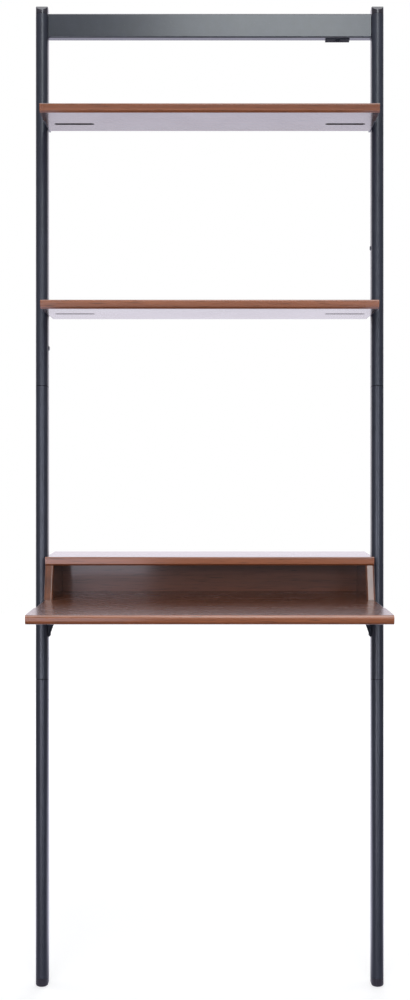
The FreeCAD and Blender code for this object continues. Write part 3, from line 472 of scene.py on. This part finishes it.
def zinc_finish():
    """Bright zinc plate, a little cloudy and scratched."""
    material, tree, shader, place = new_finish("zinc_plate", Metallic=1.0)
    wear = use(tree, edge_wear, Vector=place, Radius=0.0003, Breaks=300.0)
    touch = use(tree, handling, Vector=place, Patches=140.0, Specks=1400.0)
    scratch = noise(tree, stretched(tree, place, (60.0, 2600.0, 900.0)), roughness=0.6)
    plate = blend(tree, touch["Cloud"], seen(150, 151, 156), seen(186, 187, 190))
    plate = tint(tree, plate, seen(104, 100, 96), touch["Dust"], 0.5)
    plate = tint(tree, plate, seen(206, 206, 208), wear["Wear"], 0.4)
    feed(tree, shader, Base_Color=plate, Roughness=raised(tree, 0.22, scratch, 0.22),
         Normal=bump(tree, scratch, 0.08, 0.0001, wear["Normal"]))
    return material


def beech_finish():
    """Plain turned beech with short flecks."""
    material, tree, shader, place = new_finish("beech", IOR=1.45)
    upright = turned_round(tree, place, (0.0, math.radians(90.0), 0.0))
    grain = use(tree, wood_grain, Vector=upright, Streaks=160.0, Fibres=900.0)
    wood = blend(tree, grain["Tone"], seen(196, 160, 118), seen(216, 184, 142))
    wood = tint(tree, wood, seen(150, 110, 74), grain["Pores"], 0.6)
    feed(tree, shader, Base_Color=wood, Roughness=raised(tree, 0.5, grain["Fibre"], 0.15),
         Normal=bump(tree, grain["Height"], 0.3, 0.0001))
    return material


# Dark, middle and light tone of each kind of walnut
BOARD_TONES = (seen(80, 42, 23), seen(109, 60, 34), seen(132, 77, 47))
BAND_TONES = (seen(112, 58, 28), seen(143, 79, 40), seen(166, 97, 55))
# The back panel's tones are the boards' walnut made lighter: painted light against the shade under the hutch
# top
LIGHTENED_BACK_TONES = (seen(94, 50, 28), seen(127, 71, 41), seen(152, 91, 57))

board_walnut = walnut_finish("walnut_board", BOARD_TONES)
side_walnut = walnut_finish("walnut_side", BOARD_TONES, turn=math.radians(90.0))
lightened_back_walnut = walnut_finish("walnut_back", LIGHTENED_BACK_TONES, gloss=0.085)
band_walnut = walnut_finish("walnut_band", BAND_TONES, streaks=70.0)
# The uprights, arms and end plates take the rail's powder coat made darker: painted shade on the tubes'
# flanks
painted_steel = steel_finish("painted_steel", seen(28, 32, 45), seen(35, 39, 54), 0.46, tube_joints(),
                             IOR=1.6, Coat_Weight=1.0, Coat_IOR=1.75, Coat_Roughness=0.35)
rail_steel = steel_finish("rail_steel", seen(38, 42, 49), seen(45, 49, 57), 0.34,
                          IOR=1.6, Coat_Weight=1.0, Coat_IOR=1.75, Coat_Roughness=0.2)
matt_steel = steel_finish("matt_steel", seen(26, 28, 36), seen(33, 35, 44), 0.62, IOR=1.4)
moulded_plastic = plastic_finish("moulded_plastic", seen(42, 39, 48), seen(50, 47, 57))
grey_plastic = plastic_finish("grey_plastic", seen(84, 86, 96), seen(94, 96, 106))
zinc_plate = zinc_finish()

finish_of = {
    "hutch_top": board_walnut,
    "hutch_back": lightened_back_walnut,
    "top_rail": rail_steel,
    "wall_bracket": matt_steel,
    "wall_bracket_screw": matt_steel,
    "hole_plugs": grey_plastic,
    "hutch_dowels": beech_finish(),
}
for name, gloss in (("upper_shelf", 0.13), ("lower_shelf", 0.13), ("desk_top", 0.22)):
    finish_of[name] = walnut_finish("walnut_" + name, BOARD_TONES, slots=routed_slots(name), gloss=gloss)
for name in ("upper_shelf", "lower_shelf", "desk_top", "hutch_top"):
    finish_of[name + "_edge"] = band_walnut
for finish, parts in (
        (side_walnut, ("hutch_side", "hutch_side_edge")),
        (painted_steel, ("upright_lower", "upright_middle", "upright_upper", "rail_end_plate",
                         "upper_shelf_arm", "lower_shelf_arm", "desk_top_arm")),
        (matt_steel, ("desk_bracket",)),
        (moulded_plastic, ("top_cap", "foot_cap"))):
    for part in parts:
        finish_of[part + "_left"] = finish
        finish_of[part + "_right"] = finish

# Nodes without a finish of their own are zinc fasteners and sleeves
for name, item in nodes.items():
    item.data.materials.clear()
    item.data.materials.append(finish_of.get(name, zinc_plate))


# Edge bands

def make_band(node):
    """A front edge band that is rounded above and has a slope cut off it below."""
    low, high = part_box(node)
    back, front = high[1], low[1]
    profile = [(back, high[2])]
    for step in range(BAND_STEPS + 1):
        angle = math.radians(90.0 + 90.0 * step / BAND_STEPS)
        y = front + BAND_ROUND * (1.0 + math.cos(angle))
        z = high[2] - BAND_ROUND * (1.0 - math.sin(angle))
        profile.append((y, z))
    profile.append((front, low[2] + BAND_SLOPE[1]))
    profile.append((front + BAND_SLOPE[0], low[2]))
    profile.append((back, low[2]))
    work = bmesh.new()
    ends = [[work.verts.new((x, y, z)) for y, z in profile] for x in (low[0], high[0])]
    count = len(profile)
    for index in range(count):
        after = (index + 1) % count
        face = work.faces.new((ends[0][index], ends[0][after], ends[1][after], ends[1][index]))
        face.smooth = True
    for end in ends:
        work.faces.new(end)
    bmesh.ops.recalc_face_normals(work, faces=work.faces)
    mesh = bpy.data.meshes.new(node + "_made")
    work.to_mesh(mesh)
    work.free()
    mesh.set_sharp_from_angle(angle=SHARP_ANGLE)
    mesh.materials.append(band_walnut)
    item = put(node + "_made", mesh)
    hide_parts(node)
    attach(item, "root")


for name in ("upper_shelf_edge", "lower_shelf_edge", "hutch_top_edge"):
    make_band(name)


# Screws and bolts

def separate_solids(node):
    """The lowest and highest corner of each solid in a group of equal fasteners."""
    work = bmesh.new()
    work.from_mesh(nodes[node].data)
    bmesh.ops.remove_doubles(work, verts=work.verts, dist=1e-6)
    waiting = set(work.verts)
    found = []
    while waiting:
        first = waiting.pop()
        reached = {first}
        front = [first]
        while front:
            point = front.pop()
            for edge in point.link_edges:
                other = edge.other_vert(point)
                if other not in reached:
                    reached.add(other)
                    front.append(other)
        waiting -= reached
        low = Vector([min(vertex.co[axis] for vertex in reached) for axis in range(3)])
        high = Vector([max(vertex.co[axis] for vertex in reached) for axis in range(3)])
        found.append((low, high))
    work.free()
    found.sort(key=lambda corners: tuple(round(value, 5) for value in corners[0]))
    return found


def make_screw_tree(name, recess):
    """A screw with a domed head and a hexagon or a cross in it, set on each point along its 'out'."""
    tree = bpy.data.node_groups.new(name, "GeometryNodeTree")
    tree.interface.new_socket(name="Geometry", in_out="INPUT", socket_type="NodeSocketGeometry")
    for label in ("Head Radius", "Head Height", "Shank Radius", "Shank Length",
                  "Recess Width", "Recess Depth"):
        tree.interface.new_socket(name=label, in_out="INPUT", socket_type=FLOAT)
    tree.interface.new_socket(name="Finish", in_out="INPUT", socket_type="NodeSocketMaterial")
    tree.interface.new_socket(name="Geometry", in_out="OUTPUT", socket_type="NodeSocketGeometry")
    takes = tree.nodes.new("NodeGroupInput").outputs
    gives = tree.nodes.new("NodeGroupOutput").inputs

    def scaled(value, factor):
        return maths(tree, "MULTIPLY", value, factor)

    def lifted(geometry, height):
        offset = combined(tree, 0.0, 0.0, height)
        return add(tree, "GeometryNodeTransform", {"Geometry": geometry, "Translation": offset}).outputs[0]

    def cylinder(sides, rings, radius, depth):
        return add(tree, "GeometryNodeMeshCylinder", {
            "Vertices": sides, "Side Segments": rings, "Fill Segments": 1,
            "Radius": radius, "Depth": depth,
        }, fill_type="NGON").outputs["Mesh"]

    drum = cylinder(HEAD_SIDES, HEAD_RINGS, takes["Head Radius"], takes["Head Height"])
    drum = lifted(drum, scaled(takes["Head Height"], 0.5))
    parts = separated(tree, add(tree, "GeometryNodeInputPosition").outputs[0])
    rise = maths(tree, "DIVIDE", parts["Z"], takes["Head Height"])
    crown = add(tree, "ShaderNodeFloatCurve", {"Value": rise})
    curve = crown.mapping.curves[0]
    for spot, value in zip(curve.points, CROWN_ENDS):
        spot.location = value
    for value in CROWN_BETWEEN:
        curve.points.new(*value)
    crown.mapping.update()
    width = crown.outputs[0]
    domed = combined(tree, maths(tree, "MULTIPLY", parts["X"], width),
                     maths(tree, "MULTIPLY", parts["Y"], width), parts["Z"])
    head = add(tree, "GeometryNodeSetPosition", {"Geometry": drum, "Position": domed}).outputs[0]

    wide = takes["Recess Width"]
    deep = scaled(takes["Recess Depth"], 2.0)
    if recess == "hexagon":
        tools = [cylinder(6, 1, scaled(wide, HEXAGON_CORNER), deep)]
    else:
        thin = scaled(wide, CROSS_ARM)
        tools = []
        for sizes in ((wide, thin, deep), (thin, wide, deep)):
            tools.append(add(tree, "GeometryNodeMeshCube", {"Size": combined(tree, *sizes)}).outputs["Mesh"])
    for tool in tools:
        cutter = add(tree, "GeometryNodeMeshBoolean", {0: head}, operation="DIFFERENCE", solver="EXACT")
        tree.links.new(lifted(tool, takes["Head Height"]), cutter.inputs[1])
        head = cutter.outputs[0]

    shank = cylinder(SHANK_SIDES, 1, takes["Shank Radius"], takes["Shank Length"])
    shank = lifted(shank, scaled(takes["Shank Length"], -0.5))
    join = tree.nodes.new("GeometryNodeJoinGeometry")
    tree.links.new(shank, join.inputs[0])
    tree.links.new(head, join.inputs[0])

    out = add(tree, "GeometryNodeInputNamedAttribute", {"Name": "out"}, data_type="FLOAT_VECTOR")
    turned = add(tree, "FunctionNodeAlignRotationToVector", {"Vector": out.outputs["Attribute"]}, axis="Z")
    points = add(tree, "GeometryNodeMeshToPoints", {"Mesh": takes["Geometry"]}).outputs[0]
    instances = add(tree, "GeometryNodeInstanceOnPoints", {
        "Points": points, "Instance": join.outputs[0], "Rotation": turned.outputs[0]}).outputs[0]
    real = add(tree, "GeometryNodeRealizeInstances", {"Geometry": instances}).outputs[0]
    done = add(tree, "GeometryNodeSetMaterial", {"Geometry": real, "Material": takes["Finish"]}).outputs[0]
    tree.links.new(done, gives["Geometry"])
    return tree


def points_object(name, spots, outs):
    """A mesh of bare points, each with the direction that its screw's head faces."""
    mesh = bpy.data.meshes.new(name)
    mesh.from_pydata([tuple(spot) for spot in spots], [], [])
    directions = mesh.attributes.new("out", "FLOAT_VECTOR", "POINT")
    for entry, out in zip(directions.data, outs):
        entry.vector = out
    return put(name, mesh)


def run_tree(item, tree, **values):
    """Runs a geometry tree on an object and leaves the result as its plain mesh."""
    modifier = item.modifiers.new("made", "NODES")
    modifier.node_group = tree
    for socket in tree.interface.items_tree:
        key = socket.name.replace(" ", "_")
        if socket.in_out == "INPUT" and key in values:
            modifier[socket.identifier] = values[key]
    bpy.context.view_layer.update()
    graph = bpy.context.evaluated_depsgraph_get()
    result = bpy.data.meshes.new_from_object(item.evaluated_get(graph))
    item.modifiers.remove(modifier)
    item.data = result


def make_screws(node, tree, heads, **sizes):
    """Detailed screws in the places of a fastener group's solids, their heads outer, inner or under."""
    axis = 2 if heads == "under" else 0
    spots = []
    outs = []
    length = 0.0
    for low, high in separate_solids(node):
        middle = (low + high) / 2
        outer = 1 if middle.x > 0 else -1
        sense = {"outer": outer, "inner": -outer, "under": -1}[heads]
        top = high[axis] if sense > 0 else low[axis]
        spot = middle.copy()
        spot[axis] = top - sense * sizes["Head_Height"]
        out = Vector((0.0, 0.0, 0.0))
        out[axis] = sense
        spots.append(spot)
        outs.append(out)
        length = high[axis] - low[axis] - sizes["Head_Height"]
    item = points_object(node + "_made", spots, outs)
    run_tree(item, tree, Shank_Length=length, Finish=zinc_plate, **sizes)
    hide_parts(node)
    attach(item, "root")


hexagon_screw = make_screw_tree("hexagon_screw", "hexagon")
cross_screw = make_screw_tree("cross_screw", "cross")

# Sizes of the two kinds of screw, in metres
BOLT = dict(Head_Radius=0.0047, Head_Height=0.0027, Shank_Radius=0.0024,
            Recess_Width=0.003, Recess_Depth=0.0016)
WOOD_SCREW = dict(Head_Radius=0.004, Head_Height=0.0022, Shank_Radius=0.0019,
                  Recess_Width=0.0044, Recess_Depth=0.0014)

make_screws("board_bolts", hexagon_screw, "outer", **BOLT)
make_screws("desk_bracket_bolts", hexagon_screw, "inner", **BOLT)
make_screws("desk_bracket_screws", cross_screw, "under", **WOOD_SCREW)
make_screws("hutch_screws", cross_screw, "under", **WOOD_SCREW)


# Stage: floor, light and camera

def make_floor():
    """A pale floor that is just white in the open, so that the desk's shadow shows on it."""
    mesh = bpy.data.meshes.new("studio_floor")
    half = FLOOR_HALF
    corners = [(x, y, -FLOOR_DROP) for x, y in ((-half, -half), (half, -half), (half, half), (-half, half))]
    mesh.from_pydata(corners, [], [(0, 1, 2, 3)])
    floor = put("studio_floor", mesh)
    material, tree, shader, place = new_finish("pale_floor", Roughness=0.9, Specular_IOR_Level=0.1)
    parts = separated(tree, place)
    path = add(tree, "ShaderNodeLightPath").outputs
    shown = maths(tree, "MAXIMUM", path["Is Camera Ray"], path["Is Transmission Ray"])

    # What is seen of it, and the duller floor that lights the desk from below. The glow grows with the
    # distance, because the lamps light the far end less
    cloud = noise(tree, place, 1.4, 3.0)
    dull = blend(tree, cloud, (0.23, 0.23, 0.24, 1.0), (0.26, 0.26, 0.26, 1.0))
    feed(tree, shader, Base_Color=blend(tree, shown, dull, (0.5, 0.5, 0.5, 1.0)))
    glow = spread(tree, parts["Y"], 0.5, 6.5, 0.57, 0.95)
    white = add(tree, "ShaderNodeEmission", {
        "Color": WHITE, "Strength": maths(tree, "MULTIPLY", shown, glow)}).outputs[0]
    lit = add(tree, "ShaderNodeAddShader", {0: shader.outputs[0], 1: white}).outputs[0]

    # What glossy surfaces mirror: pale paper behind the desk, and a dim room in front of it
    aside = spread(tree, maths(tree, "ABSOLUTE", parts["X"]), 0.9, 1.8, 1.0, 0.0)
    paper = maths(tree, "MULTIPLY", spread(tree, parts["Y"], -0.1, 0.3), aside)
    mirrored = add(tree, "ShaderNodeEmission", {
        "Color": (0.93, 0.915, 1.13, 1.0), "Strength": spread(tree, paper, 0.0, 1.0, 0.08, 1.11)}).outputs[0]
    surface = add(tree, "ShaderNodeMixShader", {0: path["Is Glossy Ray"], 1: lit, 2: mirrored}).outputs[0]
    tree.links.new(surface, tree.nodes["Material Output"].inputs["Surface"])
    mesh.materials.append(material)


def make_world():
    """White for the camera, and for mirrors white paper behind the desk and a dim room in front."""
    world = bpy.data.worlds.new("studio")
    bpy.context.scene.world = world
    world.use_nodes = True
    tree = world.node_tree
    tree.nodes.clear()

    def background(colour, strength):
        return add(tree, "ShaderNodeBackground", {"Color": colour, "Strength": strength}).outputs[0]

    path = add(tree, "ShaderNodeLightPath").outputs
    parts = separated(tree, add(tree, "ShaderNodeTexCoord").outputs["Generated"])
    behind = spread(tree, parts["Y"], 0.6, 0.85)
    mirrored = maths(tree, "MULTIPLY", path["Is Glossy Ray"], behind)
    shown = maths(tree, "MAXIMUM", path["Is Camera Ray"], path["Is Transmission Ray"])
    # Mirrors show the room a little brighter upwards, and bright overhead
    dim = maths(tree, "ADD", spread(tree, parts["Z"], 0.0, 0.6, 0.1, 0.14),
                spread(tree, parts["Z"], 0.8, 0.92, 0.0, 1.5))
    strength = add(tree, "ShaderNodeMix", {0: path["Is Glossy Ray"], 2: ROOM_LIGHT, 3: dim}).outputs[0]
    room = background((0.95, 0.97, 1.0, 1.0), strength)
    cool_paper = background((0.94, 0.9, 1.0, 1.0), PAPER_LIGHT)
    mixed = add(tree, "ShaderNodeMixShader", {0: mirrored, 1: room, 2: cool_paper}).outputs[0]
    mixed = add(tree, "ShaderNodeMixShader", {0: shown, 1: mixed, 2: background(WHITE, 1.0)}).outputs[0]
    add(tree, "ShaderNodeOutputWorld", {"Surface": mixed})


def make_softbox(name, place, target, width, height, radiance, colour=WHITE[:3], mirrored=True):
    """A flat lamp whose face has this brightness and colour."""
    lamp = bpy.data.lights.new(name, "AREA")
    lamp.shape = "RECTANGLE"
    lamp.size = width
    lamp.size_y = height
    lamp.color = colour
    lamp.energy = radiance * math.pi * width * height
    item = put(name, lamp)
    item.location = place
    item.rotation_mode = "QUATERNION"
    item.rotation_quaternion = (Vector(target) - Vector(place)).to_track_quat("-Z", "Y")
    item.visible_glossy = mirrored
    item.visible_camera = False


def make_camera():
    """The camera faces the leaning plane of the uprights squarely."""
    # Found from the photograph: the focal length and the point that it faces in pixels, and in metres
    # the distance, the front of the feet and how far up the uprights the camera aims
    focal_pixels = 1443.6
    middle_x, middle_y = 209.7, 682.6
    distance = 2.750
    foot_front = -0.0394
    aim_up = 0.581
    aim = Vector((0.0, foot_front, 0.0)) + aim_up * Vector(UPWARD)
    look = Vector((0.0, math.cos(LEAN), -math.sin(LEAN)))
    camera = bpy.data.cameras.new("photo_camera")
    camera.sensor_width = 36.0
    camera.lens = focal_pixels / IMAGE_HEIGHT * camera.sensor_width
    camera.shift_x = (IMAGE_WIDTH / 2 - middle_x) / IMAGE_HEIGHT
    camera.shift_y = (middle_y - IMAGE_HEIGHT / 2) / IMAGE_HEIGHT
    camera.clip_end = 60.0
    item = put("photo_camera", camera)
    item.location = aim - look * distance
    item.rotation_mode = "QUATERNION"
    item.rotation_quaternion = look.to_track_quat("-Z", "Y")
    bpy.context.scene.camera = item


# Tints of the lamps, and the middle of the desk, at which most of them aim
COOL = (0.91, 0.97, 1.0)
LAVENDER = (0.93, 0.87, 1.0)
SKY = (0.76, 0.81, 1.0)
MIDDLE = (0.0, 0.0, 0.9)

make_floor()
make_world()

# Each lamp's place and aim, its width and height in metres, its brightness and its tint
make_softbox("front_softbox", (0.0, -3.5, 2.2), MIDDLE, 2.0, 1.8, 4.3, mirrored=False)
make_softbox("key_softbox", (0.3, -2.08, 3.65), (0.1, 0.0, 0.9), 1.0, 1.3, 2.9, COOL)
make_softbox("fill_softbox", (-1.1, -3.0, 2.2), MIDDLE, 1.8, 1.8, 1.6, mirrored=False)
make_softbox("back_softbox", (0.6, 3.4, 2.3), (0.0, 0.1, 1.0), 2.0, 2.0, 4.5, mirrored=False)
make_softbox("left_reflector", (-1.0, -2.9, 0.85), (-1.0, 0.0, 0.85), 1.5, 0.9, 1.15, LAVENDER)
for side in (-1, 1):
    make_softbox("side_softbox", (side * 3.0, 1.2, 1.9), MIDDLE, 1.6, 1.6, 2.4, mirrored=False)
    make_softbox("strip_softbox", (side * 1.02, -2.75, 1.45), (side * 0.5, 0.0, 1.45), 0.5, 1.5, 4.2, SKY)
make_camera()

bpy.context.scene.view_settings.view_transform = "Standard"
